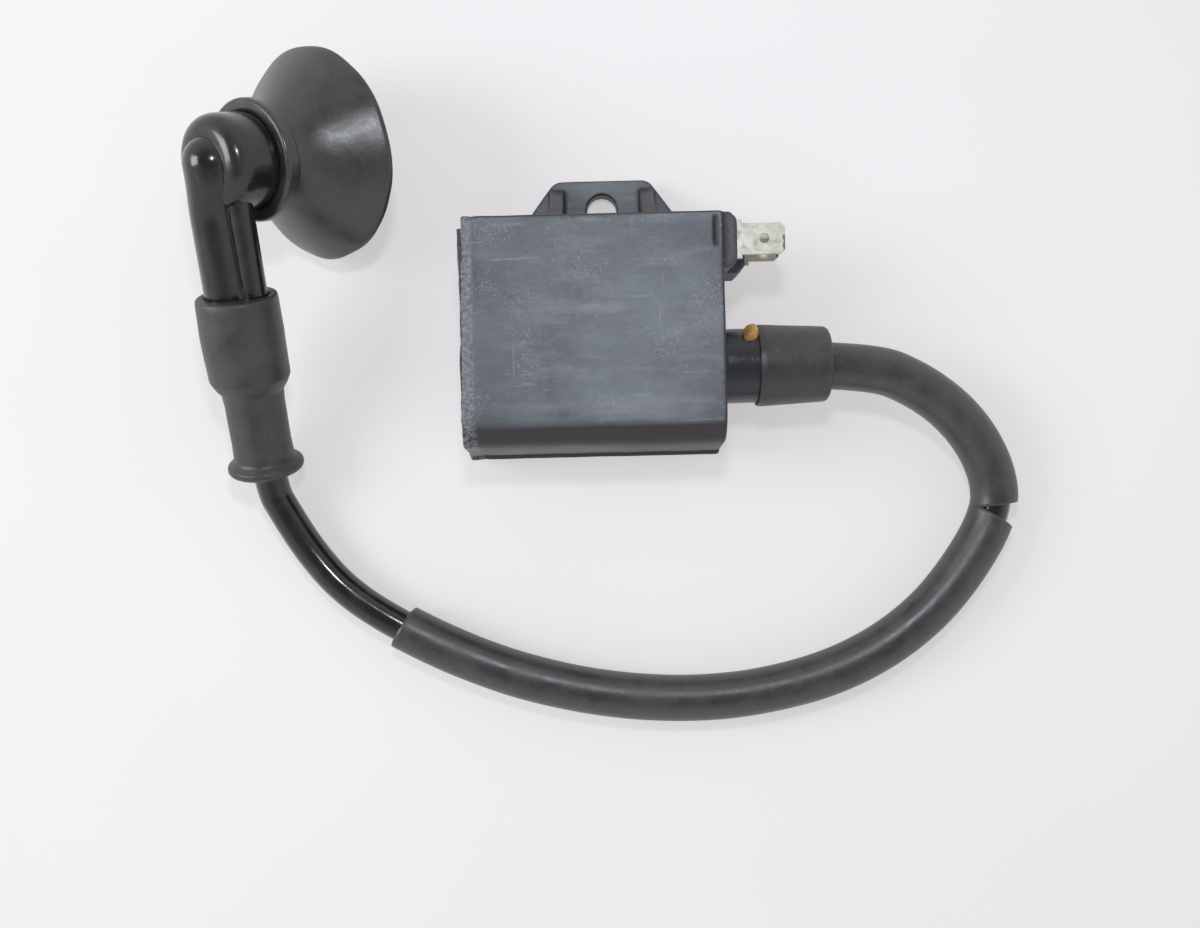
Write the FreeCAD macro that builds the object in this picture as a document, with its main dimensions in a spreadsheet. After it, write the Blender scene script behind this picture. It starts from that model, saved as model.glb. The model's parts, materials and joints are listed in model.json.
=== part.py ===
"""Ignition coil with its high-tension lead and elbow plug cap, in millimetres.

The origin is on the axis of the mounting lug's bolt hole, on the seating face
z = 0.  +Y points out of the lug, +X towards the terminals, +Z up.
"""
import math
import os

import FreeCAD
import Part
import Sketcher

from FreeCAD import Vector

doc = FreeCAD.newDocument("ignition_coil")

SIZES = {
    # case
    "case_left": -28.5, "case_right": 23.8, "case_back": -5.8, "case_front": -53.2,
    "case_high": 28.0, "case_wall": 2.0, "front_round": 7.0, "front_lean": 1.3,
    "front_foot": 0.3, "parting_high": 10.5, "edge_round": 0.6,
    # mounting lug and its two gussets
    "lug_thick": 4.5, "lug_reach": 6.3, "lug_half_root": 19.5, "lug_half_tip": 10.2,
    "lug_corner": 3.0, "bolt_radius": 3.25, "gusset_inner": 8.2, "gusset_thick": 3.0,
    "gusset_high": 21.0, "gusset_reach": 4.4,
    # terminal block and the two 6.3 x 0.8 blade terminals
    "block_right": 26.6, "block_back": -5.9, "block_front": -17.0, "block_top": 27.0,
    "block_split": 19.5, "block_low": 8.5, "block_step": 2.4, "block_chamfer": 1.5,
    "blade_wide": 6.3, "blade_thick": 0.8, "blade_chamfer": 0.9, "blade_hole": 0.95,
    "hole_setback": 4.1, "shoulder_wide": 7.9, "shoulder_long": 1.2, "blade_long": 8.6, "blade_root": 19.0,
    "upper_blade_high": 24.4, "lower_blade_high": 15.9, "upper_blade_side": -11.1,
    "lower_blade_side": -11.0,
    # high-tension tower
    "tower_side": -35.6, "tower_high": 13.5, "tower_radius": 7.8, "tower_end": 41.0,
    "socket_radius": 3.55, "lead_start": 31.0, "pin_radius": 1.5, "pin_start": 9.6,
    "plate_radius": 2.5, "plate_thick": 0.8,
    # windings on their core, along Y
    "core_x": -2.0, "core_z": 14.0, "core_mid": -28.6, "core_wide": 7.2, "core_long": 36.0,
    "sheet_thick": 0.5, "sheet_pitch": 0.52, "sheet_count": 14,
    "inner_bore": 5.2, "inner_tube": 6.2, "inner_flange": 7.8, "inner_long": 35.0,
    "flange_thick": 1.0, "inner_wound": 7.6,
    "outer_bore": 8.0, "outer_tube": 8.8, "outer_rib": 11.2, "outer_wound": 10.8,
    "rib_count": 9, "rib_thick": 0.9, "envelope_radius": 11.3, "resin_bulge": 0.6,
    "wire_radius": 0.35, "wire_side": -10.6,
    # boot on the tower
    "boot_start": 31.4, "boot_end": 46.5, "boot_lip": 8.6, "boot_tip": 7.75,
    "boot_step": 41.3, "boot_corner": 2.4,
    # bead of glue at the boot's lip, at this turn round the tower from +Y
    "bead_radius": 1.8, "bead_turn": 42.0, "bead_gap": 1.3,
    # lead and its two sleeves
    "lead_radius": 3.5, "core_radius": 0.9, "sleeve_radius": 4.95, "sleeve_bore": 3.7,
    "sleeve_first": 11.0, "sleeve_gap_at": 69.3, "sleeve_gap": 1.3, "sleeve_last": 218.0,
    # elbow plug cap: elbow centre and the directions of its two legs
    "elbow_x": -74.75, "elbow_y": 3.96, "elbow_z": 34.16,
    "arm_heading": 1.3, "arm_dip": 24.0, "barrel_heading": 24.4, "barrel_dip": 50.9,
    "arm_radius": 5.5, "arm_mouth": 6.0, "arm_long": 44.0, "lobe_radius": 2.5,
    "lobe_offset": 4.2, "lobe_start": 9.5, "side_lobe_radius": 2.5, "side_lobe_start": 9.5,
    "side_lobe_turn": 62.0,
    "barrel_radius": 9.4, "barrel_back": -1.8, "barrel_long": 20.0, "barrel_round": 4.5,
    "plug_radius": 6.0, "plug_depth": 9.0, "cup_cavity": 3.95, "cup_floor": 3.0,
    "arm_bore_start": -1.6, "stem_bore_start": -1.2,
    # electrical parts in the cap
    "post_start": 19.0, "post_head": 2.4, "post_head_thick": 2.0, "post_shank": 1.3,
    "resistor_radius": 2.2, "resistor_start": 6.0, "arm_core_bore": 2.45, "lead_end": 36.0,
    "spring_radius": 1.6, "spring_wire": 0.28, "spring_turns": 5.0,
    "stem_radius": 1.2, "cup_outer": 3.9, "cup_inner": 3.25, "cup_end": 11.0,
    "cup_bottom": 1.2, "clip_wire": 0.35, "clip_at": 8.6,
    # boot over the arm and the lead
    "seal_start": 26.0, "seal_shoulder": 43.5, "seal_neck": 46.0, "seal_end": 64.3,
    "seal_body": 8.2, "seal_tube": 6.1, "seal_flange": 8.0, "seal_flange_thick": 1.9,
    "seal_step": 44.0, "seal_wide_bore": 6.9,
    # flared shroud on the barrel
    "shroud_start": 8.3, "collar_radius": 11.9, "collar_thick": 3.2, "neck_radius": 11.0,
    "rim_radius": 21.65, "rim_at": 26.4, "shroud_thick": 2.2, "rim_thick": 1.0,
    # how far the flare's curves run on from the neck and from the rim
    "flare_from_neck": 4.5, "flare_swell": 1.5, "flare_from_rim": 7.5, "flare_rim_in": 3.0,
}

# Where the lead's centre line goes, from the tower to the cap, chosen by hand.
LEAD_ROUTE = [
    (31.0, -35.6, 13.5), (54.5, -35.6, 13.5), (67.0, -40.7, 11.7), (76.9, -48.5, 8.6),
    (83.1, -58.3, 6.0), (84.2, -67.8, 4.97), (76.8, -80.4, 5.0), (66.6, -91.8, 5.0),
    (51.3, -101.1, 5.0), (33.0, -105.9, 5.0), (16.1, -107.2, 5.0), (-1.9, -105.6, 5.0),
    (-20.1, -101.3, 5.0), (-35.4, -95.1, 5.0), (-48.9, -88.0, 5.0), (-58.8, -81.0, 4.3),
    (-65.8, -72.4, 4.1), (-70.3, -64.4, 5.2),
]
LEAD_BEND_AT = 68.0   # last route point, this far along the arm from the elbow


class Size:
    """A number read from the sheet together with the expression that gives it."""

    def __init__(self, value, text):
        self.value = value
        self.text = text

    def _with(self, other, sign, value):
        text = other.text if isinstance(other, Size) else str(other)
        return Size(value, f"({self.text} {sign} {text})")

    def __add__(self, other):
        return self._with(other, "+", self.value + number(other))

    def __sub__(self, other):
        return self._with(other, "-", self.value - number(other))

    def __mul__(self, other):
        return self._with(other, "*", self.value * number(other))

    def __truediv__(self, other):
        return self._with(other, "/", self.value / number(other))

    def __neg__(self):
        return Size(-self.value, f"(0 - {self.text})")


def number(item):
    """The plain number of a Size or of a number."""
    return item.value if isinstance(item, Size) else item


def make_sheet():
    """The spreadsheet of driving dimensions."""
    sheet = doc.addObject("Spreadsheet::Sheet", "Sizes")
    for row, (alias, value) in enumerate(SIZES.items(), start=1):
        sheet.set(f"A{row}", alias)
        sheet.set(f"B{row}", str(value))
        sheet.setAlias(f"B{row}", alias)
    doc.recompute()
    return sheet


SHEET = make_sheet()
PIECES = {}


def size(alias):
    """A Size bound to one cell of the sheet."""
    return Size(float(SHEET.get(alias)), f"Sizes.{alias}")


def bind(item, path, value):
    """Drive a property from the sheet, or set it where it is a plain number."""
    if isinstance(value, Size):
        item.setExpression(path, value.text)
    else:
        setattr(item, path, value)


def keep(name, item):
    """Register a sub-part under the name of its node."""
    item.Label = name
    PIECES[name] = item
    return item


# ---------------------------------------------------------------- PartDesign helpers

def new_body(name):
    return doc.addObject("PartDesign::Body", name + "_body")


def new_sketch(body, name, plane="XY_Plane", offset=0.0):
    """A sketch on one of the body's own origin planes, moved along its normal."""
    sketch = body.newObject("Sketcher::SketchObject", name)
    origin = [item for item in body.Origin.OriginFeatures if item.Role == plane][0]
    sketch.AttachmentSupport = [(origin, "")]
    sketch.MapMode = "FlatFace"
    if isinstance(offset, Size):
        sketch.setExpression("AttachmentOffset.Base.z", offset.text)
    else:
        sketch.AttachmentOffset.Base.z = offset
    return sketch


def fix_point(sketch, geometry, vertex, point):
    """Tie one end of a line or a centre to its sheet coordinates."""
    for kind, coordinate in zip(("DistanceX", "DistanceY"), point):
        if number(coordinate) == 0 and not isinstance(coordinate, Size):
            other = -2 if kind == "DistanceX" else -1
            sketch.addConstraint(Sketcher.Constraint("PointOnObject", geometry, vertex, other))
            continue
        index = sketch.addConstraint(
            Sketcher.Constraint(kind, -1, 1, geometry, vertex, number(coordinate)))
        if isinstance(coordinate, Size):
            sketch.setExpression(f"Constraints[{index}]", coordinate.text)


def draw_outline(sketch, points):
    """A closed outline of straight lines through sheet-driven corners."""
    corners = [Vector(number(x), number(y), 0) for x, y in points]
    count = len(corners)
    lines = [sketch.addGeometry(Part.LineSegment(corners[k], corners[(k + 1) % count]), False)
             for k in range(count)]
    for k in range(count):
        following = lines[(k + 1) % count]
        sketch.addConstraint(Sketcher.Constraint("Coincident", lines[k], 2, following, 1))
    for line, point in zip(lines, points):
        fix_point(sketch, line, 1, point)
    return lines


def draw_circle(sketch, centre, radius):
    """A circle with a sheet-driven centre and radius."""
    middle = Vector(number(centre[0]), number(centre[1]), 0)
    circle = sketch.addGeometry(Part.Circle(middle, Vector(0, 0, 1), number(radius)), False)
    fix_point(sketch, circle, 3, centre)
    index = sketch.addConstraint(Sketcher.Constraint("Radius", circle, number(radius)))
    sketch.setExpression(f"Constraints[{index}]", radius.text)


def pad(body, sketch, name, length, down=False):
    """Pad a sketch along its normal, or against it, and check that it added material."""
    before = body.Shape.Volume if body.Tip else 0.0
    feature = body.newObject("PartDesign::Pad", name)
    feature.Profile = sketch
    bind(feature, "Length", length)
    feature.Reversed = down
    doc.recompute()
    if body.Shape.Volume <= before:
        raise RuntimeError(f"{name} added nothing")
    return feature


def pocket(body, sketch, name, length, forward=False):
    """Cut a sketch against its normal, or along it, and check that it removed material."""
    before = body.Shape.Volume
    feature = body.newObject("PartDesign::Pocket", name)
    feature.Profile = sketch
    bind(feature, "Length", length)
    feature.Reversed = forward
    doc.recompute()
    if body.Shape.Volume >= before:
        raise RuntimeError(f"{name} cut nothing")
    return feature


def round_edges(body, name, radius, wanted):
    """Fillet the edges of the body's tip that a test picks."""
    doc.recompute()
    base = body.Tip
    names = [f"Edge{k}" for k, edge in enumerate(base.Shape.Edges, start=1) if wanted(edge)]
    feature = body.newObject("PartDesign::Fillet", name)
    feature.Base = (base, names)
    bind(feature, "Radius", radius)
    doc.recompute()
    return feature


def revolved(name, points, placement=None, rounds=()):
    """A body turned about its own Z axis from an outline of (radius, height) corners."""
    body = new_body(name)
    sketch = new_sketch(body, name + "_profile", "XZ_Plane")
    draw_outline(sketch, points)
    turn = body.newObject("PartDesign::Revolution", name + "_turned")
    turn.Profile = sketch
    turn.ReferenceAxis = (sketch, ["V_Axis"])
    turn.Angle = 360
    doc.recompute()
    for k, (radius, wanted) in enumerate(rounds):
        round_edges(body, f"{name}_round{k}", radius, wanted)
    if placement:
        body.Placement = placement
    return keep(name, body)


def ring_at(radius, height):
    """A test for the circular edge of this radius at this height on the Z axis."""
    def wanted(edge):
        curve = edge.Curve
        return (hasattr(curve, "Radius") and abs(curve.Radius - number(radius)) < 0.01
                and abs(curve.Center.z - number(height)) < 0.01)
    return wanted


def shape_piece(name, shape, placement=None):
    """A sub-part whose shape is made with Part's own functions from sheet values."""
    item = doc.addObject("Part::Feature", name + "_shape")
    item.Shape = shape
    if placement:
        item.Placement = placement
    return keep(name, item)


# ---------------------------------------------------------------- places

def direction(heading, dip):
    """A unit vector, heading counter-clockwise from +X and dipping below level, in degrees."""
    turn, down = math.radians(heading), math.radians(dip)
    return Vector(math.cos(turn) * math.cos(down), math.sin(turn) * math.cos(down), -math.sin(down))


def frame_along(base, forward, towards):
    """A placement at base whose Z runs along forward and whose X leans towards a vector."""
    side = towards - forward * towards.dot(forward)
    rotation = FreeCAD.Rotation(side, Vector(0, 0, 0), forward, "ZXY")
    return FreeCAD.Placement(base, rotation)


ELBOW = Vector(*[size(f"elbow_{axis}").value for axis in "xyz"])
ARM = direction(-90 + size("arm_heading").value, size("arm_dip").value)
BARREL = direction(size("barrel_heading").value, size("barrel_dip").value)
ARM_FRAME = frame_along(ELBOW, ARM, BARREL)
BARREL_FRAME = frame_along(ELBOW, BARREL, ARM)
TOWER_FRAME = frame_along(Vector(0, size("tower_side").value, size("tower_high").value),
                          Vector(1, 0, 0), Vector(0, 0, 1))
CORE_FRAME = frame_along(Vector(size("core_x").value, size("core_mid").value,
                                size("core_z").value), Vector(0, 1, 0), Vector(0, 0, 1))


# ---------------------------------------------------------------- coil case

def cavity_outline():
    """Corners of the case's inner space in Y and Z, going round from the back's foot."""
    wall = size("case_wall")
    back, front = size("case_back") - wall, size("case_front") + wall
    top = size("case_high") - wall
    slope = size("front_round") - wall
    return [(back, wall), (back, top), (front + slope, top), (front + wall / 2, top - slope),
            (front, size("parting_high")), (front, wall)]


def case_shell(body):
    """The case's outer block: its front top edge is a large round above a leaning wall."""
    back, front, high = size("case_back"), size("case_front"), size("case_high")
    radius, lean = size("front_round"), size("front_lean")
    sketch = new_sketch(body, "case_section", "YZ_Plane", size("case_left"))
    wall_y = front + lean
    centre = Vector(number(wall_y + radius), number(high - radius), 0)
    foot = front + size("front_foot")
    corners = [(back, 0), (back, high), (wall_y + radius, high), (wall_y, high - radius),
               (front, size("parting_high")), (foot, 0)]
    places = [Vector(number(a), number(b), 0) for a, b in corners]
    order = [(0, 1), (1, 2), (3, 4), (4, 5), (5, 0)]
    lines = [sketch.addGeometry(Part.LineSegment(places[a], places[b]), False) for a, b in order]
    arc = sketch.addGeometry(
        Part.ArcOfCircle(Part.Circle(centre, Vector(0, 0, 1), number(radius)),
                         math.radians(90), math.radians(180)), False)
    joins = [(lines[0], 2, lines[1], 1), (lines[1], 2, arc, 1), (arc, 2, lines[2], 1),
             (lines[2], 2, lines[3], 1), (lines[3], 2, lines[4], 1), (lines[4], 2, lines[0], 1)]
    for join in joins:
        sketch.addConstraint(Sketcher.Constraint("Coincident", *join))
    starts = [(lines[0], 1, (back, 0)), (lines[1], 1, (back, high)),
              (arc, 3, (wall_y + radius, high - radius)),
              (lines[3], 1, (front, size("parting_high"))), (lines[4], 1, (foot, 0))]
    for geometry, vertex, point in starts:
        fix_point(sketch, geometry, vertex, point)
    index = sketch.addConstraint(Sketcher.Constraint("Radius", arc, number(radius)))
    sketch.setExpression(f"Constraints[{index}]", radius.text)
    sketch.addConstraint(Sketcher.Constraint("Vertical", arc, 1, arc, 3))
    sketch.addConstraint(Sketcher.Constraint("Horizontal", arc, 2, arc, 3))
    pad(body, sketch, "case_block", size("case_right") - size("case_left"))

    def end_rim(edge):
        middle = edge.CenterOfMass
        at_end = abs(middle.x - size("case_right").value) < 0.01 and middle.z > 0.01
        back_top = (abs(middle.y - size("case_back").value) < 0.01
                    and abs(middle.z - size("case_high").value) < 0.01)
        return at_end or back_top

    round_edges(body, "end_rim", size("edge_round"), end_rim)


def case_lug(body):
    """The mounting lug: a tapered plate with round corners and two sloping gussets."""
    root, tip = size("lug_half_root"), size("lug_half_tip")
    inside = size("case_back") - 0.5
    reach = size("lug_reach")
    sketch = new_sketch(body, "lug_outline")
    draw_outline(sketch, [(-root, inside), (root, inside), (tip, reach), (-tip, reach)])
    pad(body, sketch, "lug_plate", size("lug_thick"))

    def outer_corner(edge):
        ends = [vertex.Point for vertex in edge.Vertexes]
        upright = len(ends) == 2 and abs(ends[0].x - ends[1].x) < 0.01
        return upright and all(abs(point.y - number(reach)) < 0.01 for point in ends)

    round_edges(body, "lug_corners", size("lug_corner"), outer_corner)
    for side in (-1, 1):
        start = size("gusset_inner") if side > 0 else -(size("gusset_inner") + size("gusset_thick"))
        wedge = new_sketch(body, f"gusset_side_{side + 1}", "YZ_Plane", start)
        draw_outline(wedge, [(inside, size("lug_thick") - 0.5), (size("gusset_reach"),
                             size("lug_thick") - 0.5), (size("gusset_reach"), size("lug_thick")),
                             (size("case_back"), size("gusset_high")),
                             (inside, size("gusset_high"))])
        pad(body, wedge, f"gusset_{side + 1}", size("gusset_thick"))


def case_block(body):
    """The terminal block: an upper half and a lower half that stands further out."""
    root = size("case_right") - 0.5
    cut = size("block_chamfer")
    back, front = size("block_back"), size("block_front")
    halves = {"upper": (size("block_split"), size("block_top"), size("block_right")),
              "lower": (size("block_low"), size("block_split"),
                        size("block_right") + size("block_step"))}
    for name, (low, high, right) in halves.items():
        sketch = new_sketch(body, f"block_{name}_outline", "XY_Plane", low)
        draw_outline(sketch, [(root, front), (right - cut, front), (right, front + cut),
                              (right, back - cut), (right - cut, back), (root, back)])
        pad(body, sketch, f"block_{name}", high - low)


def case_tower(body):
    """The round tower that the lead plugs into, with its socket and pin hole."""
    centre = (size("tower_side"), size("tower_high"))
    inside = size("case_right") - 0.5
    solid = new_sketch(body, "tower_circle", "YZ_Plane", inside)
    draw_circle(solid, centre, size("tower_radius"))
    pad(body, solid, "tower", size("tower_end") - inside)
    socket = new_sketch(body, "socket_circle", "YZ_Plane", size("tower_end"))
    draw_circle(socket, centre, size("socket_radius"))
    pocket(body, socket, "socket", size("tower_end") - size("lead_start"))
    hole = new_sketch(body, "pin_circle", "YZ_Plane", size("lead_start"))
    draw_circle(hole, centre, size("pin_radius"))
    pocket(body, hole, "pin_hole", size("lead_start") - size("case_right") + size("case_wall") + 1)


def blade_levels():
    """The side and height of each blade terminal's centre and where its block face is."""
    return {
        "upper": (size("upper_blade_side"), size("upper_blade_high"), size("block_right")),
        "lower": (size("lower_blade_side"), size("lower_blade_high"),
                  size("block_right") + size("block_step")),
    }


def make_case():
    """The moulded case with its lug, terminal block and tower."""
    body = new_body("coil_case")
    case_shell(body)
    hollow = new_sketch(body, "cavity_section", "YZ_Plane", size("case_left"))
    draw_outline(hollow, cavity_outline())
    depth = size("case_right") - size("case_left") - size("case_wall")
    pocket(body, hollow, "cavity", depth, forward=True)
    case_lug(body)
    case_block(body)
    case_tower(body)
    bolt = new_sketch(body, "bolt_circle", "XY_Plane", size("lug_thick") + 1)
    draw_circle(bolt, (0, 0), size("bolt_radius"))
    pocket(body, bolt, "bolt_hole", size("lug_thick") + 2)
    for name, (side, level, face) in blade_levels().items():
        slot = new_sketch(body, f"slot_{name}_outline", "YZ_Plane", face)
        wide, thick = size("blade_wide") / 2, size("blade_thick") / 2
        draw_outline(slot, [(side - wide, level - thick), (side + wide, level - thick),
                            (side + wide, level + thick), (side - wide, level + thick)])
        pocket(body, slot, f"slot_{name}", face - size("case_right") + size("case_wall") + 1)
    keep("coil_case", body)


# ---------------------------------------------------------------- inside the coil

def make_core():
    """The stack of thin steel sheets in the middle of the windings."""
    wide, long = size("core_wide").value, size("core_long").value
    thick, pitch = size("sheet_thick").value, size("sheet_pitch").value
    count = int(size("sheet_count").value)
    sheets = []
    for k in range(count):
        level = (k - count / 2) * pitch
        sheets.append(Part.makeBox(wide, long, thick, Vector(-wide / 2, -long / 2, level)))
    place = Vector(size("core_x").value, size("core_mid").value, size("core_z").value)
    shape_piece("core_laminations", Part.makeCompound(sheets),
                FreeCAD.Placement(place, FreeCAD.Rotation()))


def make_inner_winding():
    """The bobbin and heavy winding next to the core."""
    half, thick = size("inner_long") / 2, size("flange_thick")
    bore, tube, flange = size("inner_bore"), size("inner_tube"), size("inner_flange")
    revolved("primary_bobbin", [
        (bore, -half), (flange, -half), (flange, thick - half), (tube, thick - half),
        (tube, half - thick), (flange, half - thick), (flange, half), (bore, half)], CORE_FRAME)
    wound = size("inner_wound")
    revolved("primary_winding", [(tube, thick - half), (wound, thick - half),
                                 (wound, half - thick), (tube, half - thick)], CORE_FRAME)


def make_outer_winding():
    """The sectioned bobbin and the fine winding in its slots."""
    long, thick = size("inner_long").value, size("rib_thick").value
    count = int(size("rib_count").value)
    pitch = (long - thick) / (count - 1)
    bore, tube = size("outer_bore").value, size("outer_tube").value
    rib, wound = size("outer_rib").value, size("outer_wound").value
    start = -long / 2

    def ring(inner, outer, low, height):
        base = Vector(0, 0, low)
        return Part.makeCylinder(outer, height, base).cut(Part.makeCylinder(inner, height, base))

    bobbin = ring(bore, tube, start, long)
    for k in range(count):
        bobbin = bobbin.fuse(ring(bore, rib, start + k * pitch, thick))
    shape_piece("secondary_bobbin", bobbin.removeSplitter(), CORE_FRAME)
    turns = [ring(tube, wound, start + k * pitch + thick, pitch - thick) for k in range(count - 1)]
    shape_piece("secondary_winding", Part.makeCompound(turns), CORE_FRAME)


def make_contact():
    """The brass pin from the fine winding to the lead's socket."""
    start, thick = size("pin_start"), size("plate_thick")
    radius = size("pin_radius")
    revolved("tower_contact_pin", [
        (0, start), (size("plate_radius"), start), (size("plate_radius"), start + thick),
        (radius, start + thick), (radius, size("lead_start")), (0, size("lead_start"))], TOWER_FRAME)


def make_terminals():
    """The two tin-plated blade terminals, one above the other."""
    for name, (side, level, face) in blade_levels().items():
        node = f"{name}_terminal"
        body = new_body(node)
        sketch = new_sketch(body, node + "_outline", "XY_Plane", level - size("blade_thick") / 2)
        wide, shoulder = size("blade_wide") / 2, size("shoulder_wide") / 2
        cut = size("blade_chamfer")
        stop = face + size("shoulder_long")
        tip = size("block_right") + size("shoulder_long") + size("blade_long")
        half = [(size("blade_root"), wide), (face, wide), (face, shoulder), (stop, shoulder),
                (stop, wide), (tip - cut, wide), (tip, wide - cut)]
        outline = [(x, side + y) for x, y in half]
        outline += [(x, side - y) for x, y in reversed(half)]
        draw_outline(sketch, outline)
        pad(body, sketch, node + "_plate", size("blade_thick"))
        hole = new_sketch(body, node + "_hole_circle", "XY_Plane", level + size("blade_thick"))
        draw_circle(hole, (tip - size("hole_setback"), side), size("blade_hole"))
        pocket(body, hole, node + "_hole", size("blade_thick") * 2)
        keep(node, body)


def bead_chain(points, radius):
    """A round wire through points, with a ball at each corner."""
    wire = None
    for a, b in zip(points, points[1:]):
        run = b - a
        piece = Part.makeCylinder(radius, run.Length, a, run)
        wire = piece if wire is None else wire.fuse(piece).fuse(Part.makeSphere(radius, a))
    return wire


def make_wires():
    """The coil's thin connecting wires, laid just outside the bobbin's end."""
    radius, side = size("wire_radius").value, size("wire_side").value
    root, centre = size("blade_root").value, size("core_x").value
    low, high = size("lower_blade_high").value, size("upper_blade_high").value
    flange_top = size("core_z").value + size("inner_tube").value
    lower = bead_chain([Vector(root, side, low), Vector(centre + 4.0, side, low)], radius)
    upper = bead_chain([Vector(root, side, high), Vector(centre, side, high),
                        Vector(centre, side, flange_top)], radius)
    shape_piece("primary_wires", Part.makeCompound([lower, upper]))
    pin = size("pin_start").value
    tower_y, tower_z = size("tower_side").value, size("tower_high").value
    reach = centre + size("outer_wound").value - 0.4
    link = Part.makeCylinder(radius, pin - reach, Vector(reach, tower_y, tower_z), Vector(1, 0, 0))
    shape_piece("secondary_wire", link.cut(PIECES["secondary_winding"].Shape)
                .cut(PIECES["secondary_bobbin"].Shape))


def make_resin():
    """The potting that fills the case round the windings and bulges out of its open end."""
    body = new_body("resin_block")
    start = size("case_left") - size("resin_bulge")
    sketch = new_sketch(body, "resin_section", "YZ_Plane", start)
    draw_outline(sketch, cavity_outline())
    pad(body, sketch, "resin_fill", size("case_right") - size("case_wall") - start)
    half = size("inner_long").value / 2
    envelope = Part.makeCylinder(size("envelope_radius").value, 2 * half + 0.1, Vector(0, 0, -half))
    envelope.Placement = CORE_FRAME
    tools = [envelope]
    for name in ("tower_contact_pin", "upper_terminal", "lower_terminal", "primary_wires",
                 "secondary_wire"):
        tools.append(PIECES[name].Shape)
    core = PIECES["core_laminations"].Shape.BoundBox
    tools.append(Part.makeBox(core.XLength, core.YLength, core.ZLength,
                              Vector(core.XMin, core.YMin, core.ZMin)))
    shape_piece("potting_resin", body.Shape.cut(tools))


# ---------------------------------------------------------------- lead

def lead_points():
    """The route's points, ending straight along the arm of the cap."""
    points = [Vector(*point) for point in LEAD_ROUTE]
    points.append(ELBOW + ARM * LEAD_BEND_AT)
    points.append(ELBOW + ARM * size("lead_end").value)
    return points


def smooth_path(points):
    """Straight runs joined by tangent arcs, each as large as its two runs allow."""
    edges, radii = [], []
    last = points[0]
    for before, here, after in zip(points, points[1:], points[2:]):
        back, forward = before - here, after - here
        half_turn = (math.pi - back.getAngle(forward)) / 2
        trim = 0.45 * min(back.Length, forward.Length)
        radii.append(trim / math.tan(half_turn))
        start = here + back * (trim / back.Length)
        end = here + forward * (trim / forward.Length)
        middle = (start + end) * 0.5
        inward = middle - here
        sagitta = radii[-1] * (1 / math.cos(half_turn) - 1)
        crown = here + inward * (sagitta / inward.Length)
        edges.append(Part.LineSegment(last, start).toShape())
        edges.append(Part.Arc(start, crown, end).toShape())
        last = end
    edges.append(Part.LineSegment(last, points[-1]).toShape())
    return edges, radii


def stretch(edges, start, end):
    """The part of a path between two distances along it."""
    kept, done = [], 0.0
    for edge in edges:
        low, high = max(start - done, 0.0), min(end - done, edge.Length)
        if high - low > 0.01:
            first, last = edge.getParameterByLength(low), edge.getParameterByLength(high)
            kept.append(edge.Curve.toShape(first, last))
        done += edge.Length
    return kept


def tube_along(edges, radius, bore):
    """A tube swept along a path, and its volume beside section times length."""
    path = Part.Wire(edges)
    start = edges[0].valueAt(edges[0].FirstParameter)
    heading = edges[0].tangentAt(edges[0].FirstParameter)
    solids = []
    for r in (radius, bore):
        if r > 0:
            ring = Part.Wire(Part.Circle(start, heading, r).toShape())
            solids.append(path.makePipeShell([ring], True, False))
    tube = solids[0].cut(solids[1]) if bore > 0 else solids[0]
    expected = math.pi * (radius ** 2 - bore ** 2) * path.Length
    print(f"tube {radius} over {bore}: length {path.Length:.1f}, "
          f"volume {tube.Volume:.0f} of {expected:.0f}")
    return tube


def make_lead():
    """The insulated lead, its conductor and the two loose sleeves over it."""
    edges, radii = smooth_path(lead_points())
    print("lead bend radii:", [round(radius, 1) for radius in radii])
    total = sum(edge.Length for edge in edges)
    lead, core = size("lead_radius").value, size("core_radius").value
    shape_piece("lead_insulation", tube_along(edges, lead, core))
    shape_piece("lead_conductor", tube_along(edges, core, 0))
    outer, bore = size("sleeve_radius").value, size("sleeve_bore").value
    gap = size("sleeve_gap_at").value
    upper = stretch(edges, size("sleeve_first").value, gap)
    lower = stretch(edges, gap + size("sleeve_gap").value, size("sleeve_last").value)
    shape_piece("upper_sleeve", tube_along(upper, outer, bore))
    shape_piece("lower_sleeve", tube_along(lower, outer, bore))
    print(f"lead length {total:.1f}")


def make_tower_boot():
    """The rubber boot over the tower and the end of the upper sleeve."""
    start, end, step = size("boot_start"), size("boot_end"), size("boot_step")
    tower, sleeve = size("tower_radius"), size("sleeve_radius")
    revolved("tower_boot", [
        (tower, start), (size("boot_lip"), start), (size("boot_tip"), end), (sleeve, end),
        (sleeve, step), (tower, step)], TOWER_FRAME,
        rounds=[(size("boot_corner"), ring_at(size("boot_tip"), end))])


def make_glue():
    """The small bead of glue at the boot's lip."""
    turn, reach = math.radians(size("bead_turn").value), size("tower_radius").value
    axis = Vector(0, size("tower_side").value, size("tower_high").value)
    place = axis + Vector(size("boot_start").value - size("bead_gap").value,
                          reach * math.cos(turn), reach * math.sin(turn))
    bead = Part.makeSphere(size("bead_radius").value, place)
    tower = Part.makeCylinder(reach, size("tower_end").value, axis, Vector(1, 0, 0))
    shape_piece("glue_bead", bead.cut([tower, PIECES["tower_boot"].Shape]))


# ---------------------------------------------------------------- plug cap

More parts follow.
